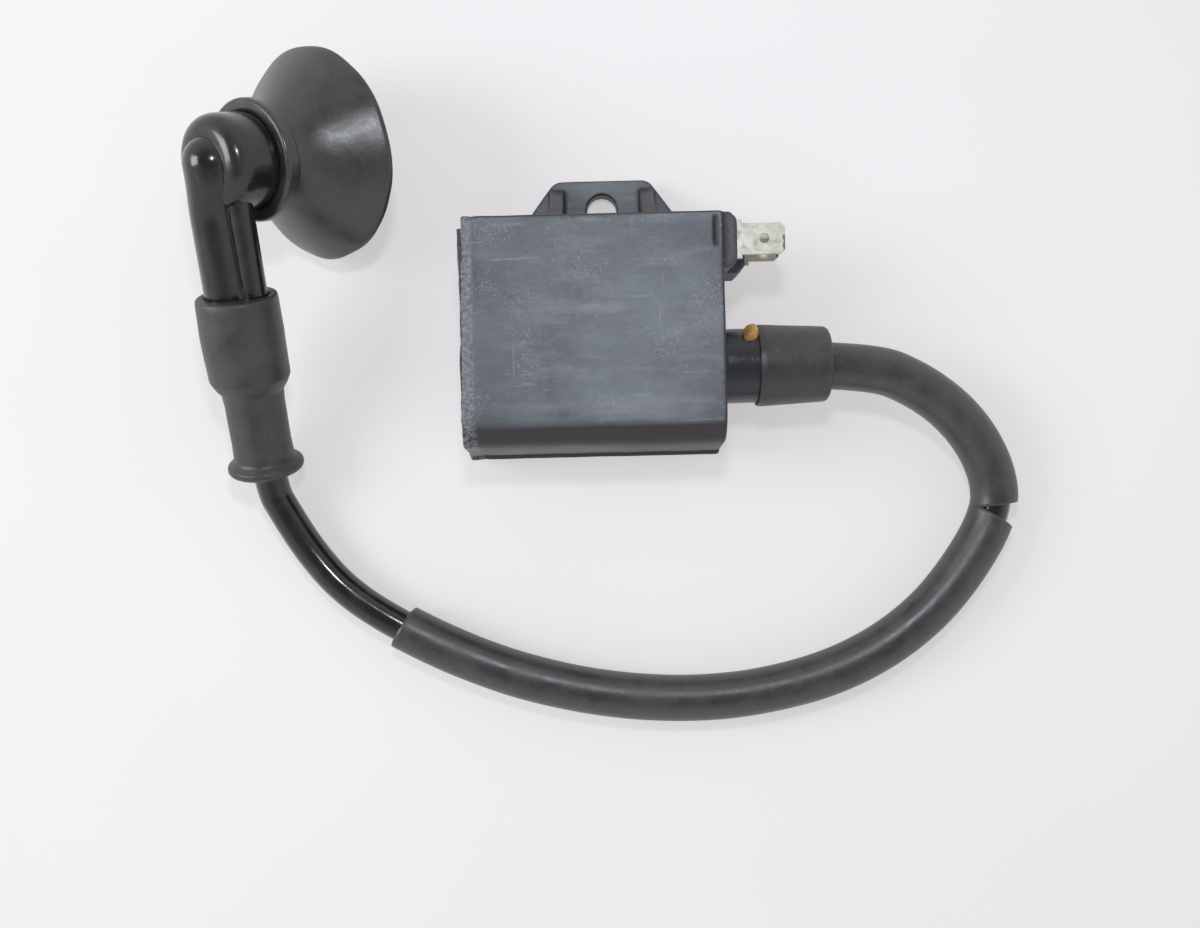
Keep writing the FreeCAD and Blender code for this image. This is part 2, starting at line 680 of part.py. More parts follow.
def make_cap_body():
    """The hard moulded elbow: an arm for the lead and a barrel for the plug."""
    arm_long, mouth = size("arm_long").value, size("arm_mouth").value
    arm = Part.makeSphere(size("arm_radius").value)
    arm = arm.fuse(Part.makeCone(size("arm_radius").value, mouth, arm_long))
    lobes = [(size("lobe_radius").value, 0.0, size("lobe_start").value)]
    for turn in (-1, 1):
        lobes.append((size("side_lobe_radius").value, turn * size("side_lobe_turn").value,
                      size("side_lobe_start").value))
    for radius, turn, start in lobes:
        angle, offset = math.radians(turn), size("lobe_offset").value
        foot = Vector(offset * math.cos(angle), offset * math.sin(angle), start)
        arm = arm.fuse(Part.makeCylinder(radius, arm_long - start, foot))
        arm = arm.fuse(Part.makeSphere(radius, foot))
    arm.Placement = ARM_FRAME
    back, long = size("barrel_back").value, size("barrel_long").value
    barrel = Part.makeCylinder(size("barrel_radius").value, long - back, Vector(0, 0, back))
    shoulder = [edge for edge in barrel.Edges if ring_at(size("barrel_radius"), back)(edge)]
    barrel = barrel.makeFillet(size("barrel_round").value, shoulder)
    barrel.Placement = BARREL_FRAME
    lead_stop = size("post_start").value + size("post_head_thick").value
    floor = size("cup_floor").value
    bores = [
        (ARM_FRAME, size("socket_radius").value, lead_stop, arm_long + 1),
        (ARM_FRAME, size("arm_core_bore").value, size("arm_bore_start").value, lead_stop + 0.1),
        (BARREL_FRAME, size("plug_radius").value, long - size("plug_depth").value, long + 1),
        (BARREL_FRAME, size("cup_cavity").value, floor, long),
        (BARREL_FRAME, size("stem_radius").value, size("stem_bore_start").value, floor + 1),
    ]
    tools = []
    for frame, radius, low, high in bores:
        tool = Part.makeCylinder(radius, high - low, Vector(0, 0, low))
        tool.Placement = frame
        tools.append(tool)
    moulding = arm.fuse(barrel).cut(tools)
    shape_piece("cap_body", moulding.removeSplitter())


def make_cap_electrics():
    """The brass post, resistor, contact spring, plug cup and its wire clip."""
    start, head = size("post_start"), size("post_head")
    shank, thick = size("post_shank"), size("post_head_thick")
    revolved("lead_post", [(0, start), (head, start), (head, start + thick),
                           (shank, start + thick), (shank, size("lead_end")),
                           (0, size("lead_end"))], ARM_FRAME)
    radius, low = size("resistor_radius"), size("resistor_start")
    revolved("suppression_resistor", [(0, low), (radius, low), (radius, start), (0, start)],
             ARM_FRAME)
    wire, coil = size("spring_wire").value, size("spring_radius").value
    foot = size("stem_radius").value + wire + 0.35
    height = low.value - foot - wire - 0.05
    helix = Part.makeHelix(height / size("spring_turns").value, height, coil)
    ring = Part.Wire(Part.Circle(Vector(coil, 0, 0), Vector(0, 1, 0), wire).toShape())
    spring = Part.Wire(helix.Edges).makePipeShell([ring], True, True)
    lift = FreeCAD.Placement(Vector(0, 0, foot), FreeCAD.Rotation())
    shape_piece("contact_spring", spring, ARM_FRAME.multiply(lift))
    floor, stem = size("cup_floor"), size("stem_radius")
    outer, inner, end = size("cup_outer"), size("cup_inner"), size("cup_end")
    revolved("plug_cup", [(0, -stem), (stem, -stem), (stem, floor), (outer, floor), (outer, end),
                          (inner, end), (inner, floor + size("cup_bottom")),
                          (0, floor + size("cup_bottom"))], BARREL_FRAME)
    clip = Part.makeTorus(inner.value - size("clip_wire").value, size("clip_wire").value,
                          Vector(0, 0, size("clip_at").value), Vector(0, 0, 1), 0, 360, 300)
    shape_piece("plug_clip", clip, BARREL_FRAME)


def make_shroud():
    """The flared rubber shroud, a trumpet with a collar, that covers the plug hole."""
    start, rim_at = size("shroud_start").value, size("rim_at").value
    bore = size("barrel_radius").value + 0.05
    collar, neck = size("collar_radius").value, size("neck_radius").value
    rim, thick = size("rim_radius").value, size("shroud_thick").value
    ledge = start + size("collar_thick").value
    rise, swell = size("flare_from_neck").value, size("flare_swell").value
    drop, inset = size("flare_from_rim").value, size("flare_rim_in").value
    lip = rim - size("rim_thick").value
    lip_at = rim_at + 0.2
    throat = Vector(bore + 0.4, 0, ledge + rise - 0.3)
    outer = Part.BezierCurve()
    outer.setPoles([Vector(neck, 0, ledge), Vector(neck + swell, 0, ledge + rise),
                    Vector(rim - inset, 0, rim_at - drop), Vector(rim, 0, rim_at)])
    inner = Part.BezierCurve()
    inner.setPoles([Vector(lip, 0, lip_at), Vector(lip - inset - 0.2, 0, rim_at - drop + 2.9),
                    Vector(bore + thick + 1.2, 0, throat.z + 3.8), throat])
    corners = [throat, Vector(bore, 0, throat.z - 0.6), Vector(bore, 0, start),
               Vector(collar, 0, start), Vector(collar, 0, ledge), Vector(neck, 0, ledge)]
    edges = [Part.LineSegment(a, b).toShape() for a, b in zip(corners, corners[1:])]
    rim_face = Part.LineSegment(Vector(rim, 0, rim_at), Vector(lip, 0, lip_at))
    edges += [outer.toShape(), rim_face.toShape(), inner.toShape()]
    profile = Part.Face(Part.Wire(edges))
    shape_piece("shroud", profile.revolve(Vector(0, 0, 0), Vector(0, 0, 1), 360), BARREL_FRAME)


def make_seal():
    """The rubber boot from the cap's arm down over the lead, with a rolled foot."""
    start, shoulder, neck = size("seal_start"), size("seal_shoulder"), size("seal_neck")
    end, step = size("seal_end"), size("seal_step")
    body_radius, tube, foot = size("seal_body"), size("seal_tube"), size("seal_flange")
    thick, bore, wide = size("seal_flange_thick"), size("socket_radius"), size("seal_wide_bore")
    revolved("lead_seal", [
        (wide, start), (body_radius, start), (body_radius + 0.1, shoulder), (tube, neck),
        (tube, end - thick), (foot, end - thick * 0.7), (foot, end - thick * 0.3),
        (foot - 1.2, end), (bore, end), (bore, step), (wide, step)], ARM_FRAME)


# ---------------------------------------------------------------- build and write

def check(item):
    """Stop if a sub-part or anything it is made of has failed."""
    if item.Shape.isNull() or not item.Shape.isValid() or not item.Shape.Solids:
        raise RuntimeError(f"{item.Label} has no valid solid")


def main():
    make_case()
    make_core()
    make_inner_winding()
    make_outer_winding()
    make_contact()
    make_terminals()
    make_wires()
    make_resin()
    make_tower_boot()
    make_glue()
    make_lead()
    make_cap_body()
    make_cap_electrics()
    make_shroud()
    make_seal()
    doc.recompute()
    for item in doc.Objects:
        if "Invalid" in item.State or "Error" in item.State:
            raise RuntimeError(f"{item.Label} failed: {item.State}")
    os.makedirs("parts", exist_ok=True)
    for name, item in PIECES.items():
        check(item)
        item.Shape.exportStep(f"parts/{name}.step")
        box = item.Shape.BoundBox
        print(f"{name:22s} {len(item.Shape.Solids):2d} solids {item.Shape.Volume:9.1f} mm3 "
              f"x {box.XMin:.1f}..{box.XMax:.1f} y {box.YMin:.1f}..{box.YMax:.1f} "
              f"z {box.ZMin:.1f}..{box.ZMax:.1f}")


main()
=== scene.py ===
"""Looks for the ignition coil and its lead and plug cap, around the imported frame, in metres."""

import json
import math

import bmesh
import bpy
from mathutils import Matrix, Vector, noise


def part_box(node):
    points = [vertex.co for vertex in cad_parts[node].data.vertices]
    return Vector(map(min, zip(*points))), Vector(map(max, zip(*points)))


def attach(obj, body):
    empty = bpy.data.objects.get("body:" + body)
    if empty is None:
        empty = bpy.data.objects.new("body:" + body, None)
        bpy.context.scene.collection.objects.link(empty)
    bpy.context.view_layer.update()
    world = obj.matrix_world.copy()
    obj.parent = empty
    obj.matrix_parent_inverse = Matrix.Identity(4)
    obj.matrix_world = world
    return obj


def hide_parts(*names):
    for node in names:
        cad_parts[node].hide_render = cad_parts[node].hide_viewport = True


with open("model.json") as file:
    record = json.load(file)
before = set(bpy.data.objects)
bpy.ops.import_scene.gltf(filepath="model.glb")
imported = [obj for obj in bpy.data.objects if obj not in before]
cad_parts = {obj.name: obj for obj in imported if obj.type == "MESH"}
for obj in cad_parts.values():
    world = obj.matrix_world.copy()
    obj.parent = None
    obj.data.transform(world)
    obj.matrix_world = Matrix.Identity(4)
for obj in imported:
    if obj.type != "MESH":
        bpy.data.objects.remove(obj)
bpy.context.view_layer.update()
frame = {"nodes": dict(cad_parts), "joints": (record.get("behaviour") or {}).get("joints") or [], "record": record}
MM = 0.001

# ------------------------------------------------------------------ camera and lead

CAMERA_OVER = Vector((-0.00175, -0.05547))   # the point of the table straight below the lens
CAMERA_HIGH = 0.250
CAMERA_ROLL = math.radians(-1.4)


def make_camera():
    """A camera close above the table that looks straight down."""
    data = bpy.data.cameras.new("camera")
    data.sensor_width = 36.0
    data.lens = 33.75
    data.clip_start = 0.01
    camera = bpy.data.objects.new("camera", data)
    camera.location = (*CAMERA_OVER, CAMERA_HIGH)
    camera.rotation_euler = (0, 0, CAMERA_ROLL)
    bpy.context.scene.collection.objects.link(camera)
    bpy.context.scene.camera = camera


make_camera()

joints = {joint["name"]: joint for joint in frame["joints"]}
ARM = Vector(joints["cap_turn"]["axis"]).normalized()
BARREL = Vector(joints["shroud_turn"]["axis"]).normalized()
ELBOW = Vector(joints["shroud_turn"]["pos_m"]) - BARREL * 12 * MM

LEAD_ROUTE_MM = [
    (31.0, -35.6, 13.5), (54.5, -35.6, 13.5), (67.0, -40.7, 11.7), (76.9, -48.5, 8.6),
    (83.1, -58.3, 6.0), (84.2, -67.8, 4.97), (76.8, -80.4, 5.0), (66.6, -91.8, 5.0),
    (51.3, -101.1, 5.0), (33.0, -105.9, 5.0), (16.1, -107.2, 5.0), (-1.9, -105.6, 5.0),
    (-20.1, -101.3, 5.0), (-35.4, -95.1, 5.0), (-48.9, -88.0, 5.0), (-58.8, -81.0, 4.3),
    (-65.8, -72.4, 4.1), (-70.3, -64.4, 5.2),
]
LEAD_ROUTE = [Vector(point) * MM for point in LEAD_ROUTE_MM]
LEAD_ROUTE += [ELBOW + ARM * 68 * MM, ELBOW + ARM * 36 * MM]   # into the boot, then to the post
LEAD_RADIUS = 3.5 * MM
SLEEVE_RADIUS = 4.95 * MM
SLEEVE_BORE = 3.7 * MM


def link(thing):
    bpy.context.scene.collection.objects.link(thing)
    return thing


def evaluated_mesh(piece):
    """A mesh of a piece with its modifiers or spline worked out."""
    bpy.context.view_layer.update()
    return bpy.data.meshes.new_from_object(piece.evaluated_get(bpy.context.evaluated_depsgraph_get()))


def route_curve(name, bevel):
    """The lead's line as one open NURBS spline."""
    data = bpy.data.curves.new(name, "CURVE")
    data.dimensions = "3D"
    data.resolution_u = 12
    data.bevel_depth = bevel
    data.bevel_resolution = 8
    spline = data.splines.new("NURBS")
    spline.points.add(len(LEAD_ROUTE) - 1)
    for point, place in zip(spline.points, LEAD_ROUTE):
        point.co = (*place, 1)
    spline.order_u = 3
    spline.use_endpoint_u = True
    return link(bpy.data.objects.new(name, data))


def line_points():
    """Points read off the lead's spline."""
    probe = route_curve("route_probe", 0)
    mesh = evaluated_mesh(probe)
    points = [vertex.co.copy() for vertex in mesh.vertices]
    bpy.data.objects.remove(probe)
    bpy.data.meshes.remove(mesh)
    return points


def stretch_of(points, start, end, step=0.6 * MM):
    """Evenly spaced points between two distances along a line."""
    marks = [0.0]
    for a, b in zip(points, points[1:]):
        marks.append(marks[-1] + (b - a).length)
    count = max(2, round((end - start) / step))
    out, here = [], 0
    for k in range(count + 1):
        want = start + (end - start) * k / count
        while here < len(marks) - 2 and marks[here + 1] < want:
            here += 1
        share = (want - marks[here]) / (marks[here + 1] - marks[here])
        out.append(points[here].lerp(points[here + 1], share))
    return out


LEAD_LINE = line_points()

# ------------------------------------------------------------------ material helpers

RANGE_SOCKETS = ("From Min", "From Max", "To Min", "To Max")


class Paint:
    """A material's node tree with short ways to add noise, ramps and bumps."""

    def __init__(self, name, color, roughness, metallic=0.0, specular=0.5):
        self.material = bpy.data.materials.new(name)
        self.material.use_nodes = True
        self.tree = self.material.node_tree
        self.shader = self.tree.nodes["Principled BSDF"]
        self.shader.inputs["Base Color"].default_value = (*color, 1)
        self.shader.inputs["Roughness"].default_value = roughness
        self.shader.inputs["Metallic"].default_value = metallic
        self.shader.inputs["Specular IOR Level"].default_value = specular
        self.place = self.tree.nodes.new("ShaderNodeTexCoord").outputs["Object"]
        self.bumped = None

    def node(self, kind, **settings):
        made = self.tree.nodes.new(kind)
        for key, value in settings.items():
            setattr(made, key, value)
        return made

    def wire(self, source, target):
        self.tree.links.new(source, target)

    def scaled(self, stretch):
        """Object coordinates stretched along each axis."""
        mapping = self.node("ShaderNodeMapping")
        mapping.inputs["Scale"].default_value = stretch
        self.wire(self.place, mapping.inputs["Vector"])
        return mapping.outputs["Vector"]

    def noise(self, size, detail=4.0, roughness=0.55, stretch=None, distortion=0.0):
        """Noise whose blotches are about size metres across, from 0 to 1."""
        made = self.node("ShaderNodeTexNoise")
        made.inputs["Scale"].default_value = 1.0 / size
        made.inputs["Detail"].default_value = detail
        made.inputs["Roughness"].default_value = roughness
        made.inputs["Distortion"].default_value = distortion
        self.wire(self.scaled(stretch) if stretch else self.place, made.inputs["Vector"])
        return made.outputs["Fac"]

    def cells(self, size):
        """Distance to the middle of random cells about size metres across."""
        made = self.node("ShaderNodeTexVoronoi")
        made.inputs["Scale"].default_value = 1.0 / size
        self.wire(self.place, made.inputs["Vector"])
        return made.outputs["Distance"]

    def between(self, value, low, high, to_low=0.0, to_high=1.0):
        """Value stretched so that low to high becomes to_low to to_high, clamped."""
        made = self.node("ShaderNodeMapRange")
        for key, number in zip(RANGE_SOCKETS, (low, high, to_low, to_high)):
            made.inputs[key].default_value = number
        self.wire(value, made.inputs["Value"])
        return made.outputs["Result"]

    def math(self, operation, a, b=None, c=None):
        made = self.node("ShaderNodeMath", operation=operation)
        for socket, value in zip(made.inputs, (a, b, c)):
            if value is None:
                continue
            if isinstance(value, (int, float)):
                socket.default_value = value
            else:
                self.wire(value, socket)
        return made.outputs[0]

    def axis(self, name, of=None):
        """One coordinate of the place on the piece."""
        made = self.node("ShaderNodeSeparateXYZ")
        self.wire(of or self.place, made.inputs[0])
        return made.outputs[name]

    def normal(self):
        return self.node("ShaderNodeTexCoord").outputs["Normal"]

    def color_mix(self, share, first, second):
        """The first colour where share is 0 and the second where it is 1."""
        made = self.node("ShaderNodeMix", data_type="RGBA")
        self.wire(share, made.inputs[0])
        for socket, value in ((made.inputs[6], first), (made.inputs[7], second)):
            if isinstance(value, tuple):
                socket.default_value = (*value, 1)
            else:
                self.wire(value, socket)
        return made.outputs[2]

    def cover(self, base, share, amount, color):
        """A colour laid over base by share, at most amount of it."""
        return self.color_mix(self.math("MULTIPLY", share, amount), base, color)

    def set_color(self, color):
        self.wire(color, self.shader.inputs["Base Color"])

    def set_roughness(self, value):
        self.wire(value, self.shader.inputs["Roughness"])

    def add_bump(self, height, depth):
        """A bump of depth metres for a height from 0 to 1, on top of the ones before."""
        made = self.node("ShaderNodeBump")
        made.inputs["Strength"].default_value = 1.0
        made.inputs["Distance"].default_value = depth
        self.wire(height, made.inputs["Height"])
        if self.bumped:
            self.wire(self.bumped, made.inputs["Normal"])
        self.bumped = made.outputs["Normal"]
        self.wire(self.bumped, self.shader.inputs["Normal"])


def speckle(paint, size, low, high):
    """Small sparse dots: 1 in the dot, 0 elsewhere."""
    return paint.between(paint.cells(size), low, high, 1.0, 0.0)


def scratches(paint, size, stretch, low, high):
    """Thin broken streaks along one direction."""
    return paint.between(paint.noise(size, 3.0, 0.6, stretch), low, high)


# ------------------------------------------------------------------ materials

# the moulded slot on the case's top and the split line low on its front, for its mesh and its material
SLOT_X = 22.3 * MM
SLOT_Y = -9.8 * MM
SPLIT_HIGH = 10.6 * MM


def case_top(paint, across, along, top):
    """The scuffed and scratched slate grey of the top with its clouds and scuffs; the top is left lighter as
    painted sheen and the sides get a painted shade.
    """
    clouds = paint.between(paint.noise(24 * MM, 7.0, 0.58, (1.0, 1.3, 1.0), 0.1), 0.36, 0.66)
    fine = paint.between(paint.noise(1.1 * MM, 5.0, 0.72), 0.38, 0.70)
    smears = paint.between(paint.noise(6 * MM, 5.0, 0.66, (0.35, 1.6, 1.0)), 0.50, 0.70)
    base = paint.color_mix(clouds, (0.060, 0.069, 0.087), (0.162, 0.183, 0.214))
    base = paint.cover(base, fine, 0.40, (0.175, 0.188, 0.205))
    base = paint.cover(base, smears, 0.42, (0.235, 0.255, 0.29))
    # darker towards the open end and the back edge
    back_edge = paint.math("MULTIPLY", paint.between(along, -9 * MM, -21 * MM, 0.38, 0.0),
                           paint.between(along, -7.5 * MM, -8.5 * MM))
    dark = paint.math("MAXIMUM", paint.between(across, -27 * MM, -4 * MM, 0.42, 0.0), back_edge)
    base = paint.color_mix(dark, base, (0.055, 0.063, 0.075))
    # painted sheen and shade: top-facing faces keep the lighter colour, the rounded edges and sides get a dark
    # painted shade
    base = paint.color_mix(top, (0.030, 0.027, 0.032), base)
    patch = paint.between(paint.noise(13 * MM, 2.0, 0.5), 0.50, 0.64)
    grain = paint.between(paint.noise(0.45 * MM, 3.0, 0.8), 0.54, 0.66)
    scuff = paint.math("MULTIPLY", paint.math("MULTIPLY", patch, grain), top)
    base = paint.cover(base, scuff, 0.7, (0.34, 0.36, 0.39))
    streaks = scratches(paint, 2.2 * MM, (0.12, 1.6, 1.0), 0.64, 0.71)
    cross = scratches(paint, 1.6 * MM, (1.5, 0.10, 1.0), 0.68, 0.75)
    lines = paint.math("MULTIPLY", paint.math("MAXIMUM", streaks, cross), top)
    base = paint.cover(base, lines, 0.4, (0.27, 0.29, 0.32))
    dust = speckle(paint, 3.4 * MM, 0.03, 0.055)
    return paint.cover(base, dust, 0.45, (0.5, 0.51, 0.52)), clouds, scuff


def case_front(paint, base, across, high):
    """The front's painted reflection of the floor on its lower wall and the dark crack along its split line, wider
    near the open end.
    """
    front = paint.between(paint.axis("Y", paint.normal()), -0.85, -0.97)
    # painted reflection of the white floor: the lower front wall between the split and the rounding is made
    # lighter and warmer
    painted_floor_reflection = paint.math("MULTIPLY", front, paint.between(high, 20.5 * MM, 16.5 * MM))
    over_split = paint.between(high, SPLIT_HIGH, SPLIT_HIGH + 0.8 * MM, 0.15, 1.0)
    painted_floor_reflection = paint.math("MULTIPLY", painted_floor_reflection, over_split)
    base = paint.cover(base, painted_floor_reflection, 0.7, (0.125, 0.117, 0.113))
    ragged = paint.math("ADD", high, paint.math("MULTIPLY", paint.noise(1.6 * MM, 4.0, 0.7), 1.0 * MM))
    off_line = paint.math("ABSOLUTE", paint.math("SUBTRACT", ragged, SPLIT_HIGH + 0.6 * MM))
    open_side = paint.between(across, -4 * MM, -12 * MM, 0.28, 0.62)
    crack = paint.math("LESS_THAN", off_line, paint.math("MULTIPLY", open_side, 1 * MM))
    return paint.color_mix(paint.math("MULTIPLY", crack, front), base, (0.004, 0.004, 0.005))


def near_place(paint, axis, middle, full, none):
    """1 within full of a place along an axis, falling to 0 at none."""
    away = paint.math("ABSOLUTE", paint.math("SUBTRACT", axis, middle))
    return paint.between(away, full, none, 1.0, 0.0)


def case_material():
    """Slate-grey moulded plastic, scuffed on top with painted sheen there and painted shade on its sides, glossier
    and darker on the tower.
    """
    paint = Paint("case_plastic", (0.1, 0.11, 0.12), 0.5, specular=0.45)
    across, along, high = (paint.axis(name) for name in "XYZ")
    top = paint.between(paint.axis("Z", paint.normal()), 0.88, 0.97)
    base, clouds, scuff = case_top(paint, across, along, top)
    worn_end = paint.math("MULTIPLY", paint.between(across, -25.9 * MM, -26.5 * MM),
                          paint.between(paint.noise(0.9 * MM, 4.0, 0.75), 0.42, 0.60))
    base = paint.cover(base, worn_end, 0.7, (0.26, 0.27, 0.29))
    base = case_front(paint, base, across, high)
    # painted shade in the moulded slot: its narrow strip is darkened
    slot = paint.math("MULTIPLY", near_place(paint, across, SLOT_X, 0.3 * MM, 0.7 * MM),
                      near_place(paint, along, SLOT_Y, 2.6 * MM, 3.5 * MM))
    base = paint.cover(base, slot, 0.8, (0.018, 0.019, 0.024))
    tower = paint.math("MULTIPLY", paint.between(across, 24.1 * MM, 24.6 * MM),
                       paint.between(along, -24.0 * MM, -26.0 * MM))
    base = paint.color_mix(tower, base, (0.032, 0.034, 0.044))
    block = paint.math("MULTIPLY", paint.between(across, 23.9 * MM, 24.3 * MM),
                       paint.between(along, -19.0 * MM, -18.0 * MM))
    base = paint.cover(base, block, 0.88, (0.056, 0.054, 0.070))
    glitter = paint.math("MULTIPLY", block, speckle(paint, 0.55 * MM, 0.10, 0.16))
    base = paint.cover(base, glitter, 0.5, (0.42, 0.34, 0.55))
    paint.set_color(base)
    rough = paint.between(clouds, 0, 1, 0.40, 0.56)
    rough = paint.math("ADD", rough, paint.math("MULTIPLY", scuff, 0.2))
    rough = paint.math("SUBTRACT", rough, paint.math("MULTIPLY", tower, 0.24))
    paint.set_roughness(rough)
    paint.add_bump(paint.noise(4 * MM, 4.0, 0.6), 0.12 * MM)
    paint.add_bump(paint.noise(0.35 * MM, 3.0, 0.6), 0.02 * MM)
    return paint.material


def rubber_material(name, dark, light, rough_low, rough_high, specular=0.5, dust=0.4):
    """Moulded rubber with bloom, fine grain and dust, from a dark and a light tone."""
    paint = Paint(name, dark, rough_low, specular=specular)
    bloom = paint.between(paint.noise(6 * MM, 5.0, 0.6, distortion=0.3), 0.35, 0.7)
    base = paint.color_mix(bloom, dark, light)
    fine = paint.between(paint.noise(0.6 * MM, 4.0, 0.7), 0.4, 0.75)
    base = paint.cover(base, fine, 0.3, tuple(1.5 * c for c in light))
    dots = speckle(paint, 2.6 * MM, 0.03, 0.055)
    base = paint.cover(base, dots, dust, (0.42, 0.40, 0.38))
    paint.set_color(base)
    paint.set_roughness(paint.between(bloom, 0, 1, rough_low, rough_high))
    paint.add_bump(paint.noise(2.5 * MM, 3.0, 0.5), 0.06 * MM)
    paint.add_bump(paint.noise(0.3 * MM, 3.0, 0.65), 0.015 * MM)
    return paint.material


def gloss_material(name, color, rough, haze=0.14):
    """Polished black plastic with faint smears, specks and a fine grain."""
    paint = Paint(name, color, rough, specular=0.45)
    paint.shader.inputs["Coat Weight"].default_value = 0.45
    paint.shader.inputs["Coat Roughness"].default_value = 0.10
    paint.shader.inputs["Coat IOR"].default_value = 1.5
    smear = paint.between(paint.noise(5 * MM, 4.0, 0.6, distortion=0.8), 0.40, 0.72)
    base = paint.color_mix(smear, color, tuple(c * 1.8 + 0.004 for c in color))
    dots = speckle(paint, 2.2 * MM, 0.03, 0.06)
    base = paint.cover(base, dots, 0.35, (0.35, 0.34, 0.33))
    paint.set_color(base)
    paint.set_roughness(paint.between(smear, 0, 1, rough, rough + haze))
    paint.add_bump(paint.noise(3.0 * MM, 3.0, 0.5), 0.035 * MM)
    paint.add_bump(paint.noise(0.4 * MM, 2.0, 0.6), 0.004 * MM)
    return paint.material


def blade_material():
    """Dull tin plate with stains, rubbed edges and a dark worn corner at the tip."""
    paint = Paint("tinned_blade", (0.55, 0.53, 0.47), 0.40, metallic=0.6)
    stain = paint.between(paint.noise(2.0 * MM, 5.0, 0.65, distortion=0.6), 0.40, 0.66)
    base = paint.color_mix(stain, (0.62, 0.60, 0.54), (0.44, 0.42, 0.35))
    rub = scratches(paint, 0.7 * MM, (0.25, 2.0, 1.0), 0.62, 0.70)
    base = paint.cover(base, rub, 0.5, (0.74, 0.72, 0.67))
    spots = speckle(paint, 1.1 * MM, 0.08, 0.14)
    base = paint.cover(base, spots, 0.4, (0.22, 0.18, 0.12))
    tip = paint.math("ADD", paint.axis("X"), paint.math("MULTIPLY", paint.noise(1.2 * MM), 1.6 * MM))
    worn = paint.math("MULTIPLY", paint.between(tip, 36.5 * MM, 36.9 * MM),
                      paint.between(paint.axis("Y"), -10.2 * MM, -10.8 * MM))
    base = paint.cover(base, worn, 0.85, (0.05, 0.042, 0.035))
    paint.set_color(base)
    paint.set_roughness(paint.between(stain, 0, 1, 0.32, 0.55))
    paint.add_bump(paint.noise(0.9 * MM, 4.0, 0.6), 0.02 * MM)
    return paint.material


def glue_material():
    """Amber glue, thin enough to glow at its edges."""
    paint = Paint("amber_glue", (0.45, 0.24, 0.06), 0.16, specular=0.5)
    cloud = paint.between(paint.noise(1.2 * MM, 3.0, 0.5), 0.35, 0.7)
    paint.set_color(paint.color_mix(cloud, (0.62, 0.36, 0.10), (0.28, 0.13, 0.03)))
    paint.shader.inputs["Subsurface Weight"].default_value = 0.25
    paint.shader.inputs["Subsurface Radius"].default_value = (1.0 * MM, 0.5 * MM, 0.2 * MM)
    paint.add_bump(paint.noise(1.5 * MM, 2.0, 0.5), 0.08 * MM)
    return paint.material


def resin_material():
    """Poured black epoxy with pits and a glittery worn crust."""
    paint = Paint("potting_resin", (0.02, 0.02, 0.022), 0.3, specular=0.5)
    crust = paint.between(paint.noise(1.0 * MM, 5.0, 0.7), 0.52, 0.68)
    paint.set_color(paint.color_mix(crust, (0.022, 0.022, 0.025), (0.13, 0.13, 0.13)))
    paint.set_roughness(paint.between(crust, 0, 1, 0.25, 0.6))
    paint.add_bump(paint.noise(0.8 * MM, 5.0, 0.7), 0.15 * MM)
    return paint.material


def plain_metal(name, color, metallic, rough):
    """A turned or drawn metal with fine drawing lines."""
    paint = Paint(name, color, rough, metallic=metallic)
    lines = paint.noise(0.25 * MM, 3.0, 0.6, (1.0, 6.0, 6.0))
    worn = tuple(0.7 * c for c in color)
    paint.set_color(paint.color_mix(paint.between(lines, 0.3, 0.7), color, worn))
    paint.set_roughness(paint.between(lines, 0.3, 0.7, rough, rough + 0.15))
    paint.add_bump(lines, 0.005 * MM)
    return paint.material


def plain_moulding(name, color, rough):
    """An inner moulding with faint mottling."""
    paint = Paint(name, color, rough)
    clouds = paint.noise(3 * MM, 4.0, 0.6)
    shade = tuple(0.8 * c for c in color)
    paint.set_color(paint.color_mix(paint.between(clouds, 0.3, 0.7), color, shade))
    paint.add_bump(paint.noise(0.3 * MM, 2.0, 0.5), 0.01 * MM)
    return paint.material


def winding_material():
    """Enamelled copper wire: fine turns across the winding's axis."""
    paint = Paint("copper_winding", (0.55, 0.22, 0.08), 0.35, metallic=0.7)
    turns = paint.node("ShaderNodeTexWave", bands_direction="Y")
    turns.inputs["Scale"].default_value = 1.0 / (1.2 * MM)
    paint.wire(paint.place, turns.inputs["Vector"])
    paint.set_color(paint.color_mix(turns.outputs["Fac"], (0.30, 0.10, 0.03), (0.62, 0.27, 0.10)))
    paint.add_bump(turns.outputs["Fac"], 0.03 * MM)
    return paint.material


MATERIALS = {
    "case": case_material(),
    "resin": resin_material(),
    "steel_core": plain_metal("steel_core", (0.45, 0.45, 0.46), 1.0, 0.35),
    "bobbin": plain_moulding("bobbin", (0.62, 0.56, 0.42), 0.5),
    "copper_winding": winding_material(),
    "brass_part": plain_metal("brass_part", (0.72, 0.53, 0.24), 1.0, 0.3),
    "tinned_blade": blade_material(),
    "boot_rubber": rubber_material(
        "boot_rubber", (0.021, 0.0175, 0.019), (0.050, 0.042, 0.045), 0.38, 0.56, 0.7),
    "glue": glue_material(),
    "lead_jacket": gloss_material("lead_jacket", (0.008, 0.008, 0.009), 0.16, 0.12),
    "sleeve_rubber": rubber_material(
        "sleeve_rubber", (0.019, 0.016, 0.018), (0.048, 0.042, 0.046), 0.33, 0.46, 0.85),
    "cap_phenolic": gloss_material("cap_phenolic", (0.007, 0.0065, 0.0065), 0.20, 0.14),
    "resistor_body": plain_moulding("resistor_body", (0.55, 0.5, 0.42), 0.6),
    "spring_steel": plain_metal("spring_steel", (0.55, 0.55, 0.56), 1.0, 0.25),
    "shroud_rubber": rubber_material(
        "shroud_rubber", (0.015, 0.0122, 0.0125), (0.036, 0.030, 0.031), 0.29, 0.41, 0.85, 0.2),
}


